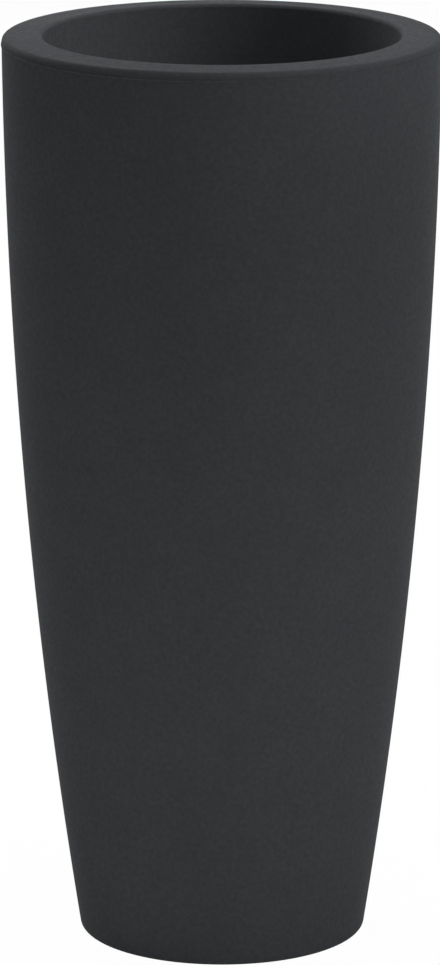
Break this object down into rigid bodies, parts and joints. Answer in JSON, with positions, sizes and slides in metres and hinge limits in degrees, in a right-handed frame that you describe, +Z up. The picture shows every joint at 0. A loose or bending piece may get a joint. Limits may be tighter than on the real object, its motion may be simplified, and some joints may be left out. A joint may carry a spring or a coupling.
{
  "type": "flower pot",
  "caption": "Tall round tapering floor planter with a broad flat rim, a drop-in liner that lifts out by folding handles, and a screw drain plug.",
  "frame": {"origin": "centre of the base, on the plane that the pot stands on", "axes": "+Z up along the pot's axis, -Y to the front, and the grips of the two liner handles on -X and +X"},
  "size_m": [0.332, 0.332, 0.6999],
  "materials": {
    "shell_polyethylene": "matt rotomoulded, fine grain",
    "liner_polypropylene": "satin",
    "handle_polypropylene": "satin",
    "drain_polypropylene": "satin",
    "seal_rubber": "matt",
    "pin_steel": "drawn"
  },
  "bodies": {
    "pot": {"pot_shell": "shell_polyethylene", "rim_collar": "shell_polyethylene", "drain_bush": "drain_polypropylene"},
    "plug_seal": {"drain_plug_seal": "seal_rubber"},
    "plug": {"drain_plug": "drain_polypropylene"},
    "liner": {"liner_pot": "liner_polypropylene", "drainage_grid": "liner_polypropylene", "handle_pins": "pin_steel"},
    "left_handle": {"left_handle": "handle_polypropylene"},
    "right_handle": {"right_handle": "handle_polypropylene"}
  },
  "joints": [
    {"name": "liner_lift", "type": "slide", "parent": "pot", "child": "liner", "axis": [0, 0, 1], "range_m": [0, 0.4]},
    {"name": "left_handle_fold", "type": "hinge", "parent": "liner", "child": "left_handle", "pos_m": [-0.0065, 0, 0.6398], "axis": [0, 1, 0], "range_deg": [0, 90]},
    {"name": "right_handle_fold", "type": "hinge", "parent": "liner", "child": "right_handle", "pos_m": [0.0065, 0, 0.6398], "axis": [0, -1, 0], "range_deg": [0, 90]},
    {"name": "plug_withdraw", "type": "slide", "parent": "pot", "child": "plug_seal", "axis": [0, 0, -1], "range_m": [0, 0.012]},
    {"name": "plug_turn", "type": "hinge", "parent": "plug_seal", "child": "plug", "pos_m": [0, 0, 0.0145], "axis": [0, 0, -1], "range_deg": [0, 1440]}
  ],
  "couplings": [
    {"joint": "plug_withdraw", "follows": "plug_turn", "m_per_rad": 0.00047746}
  ]
}
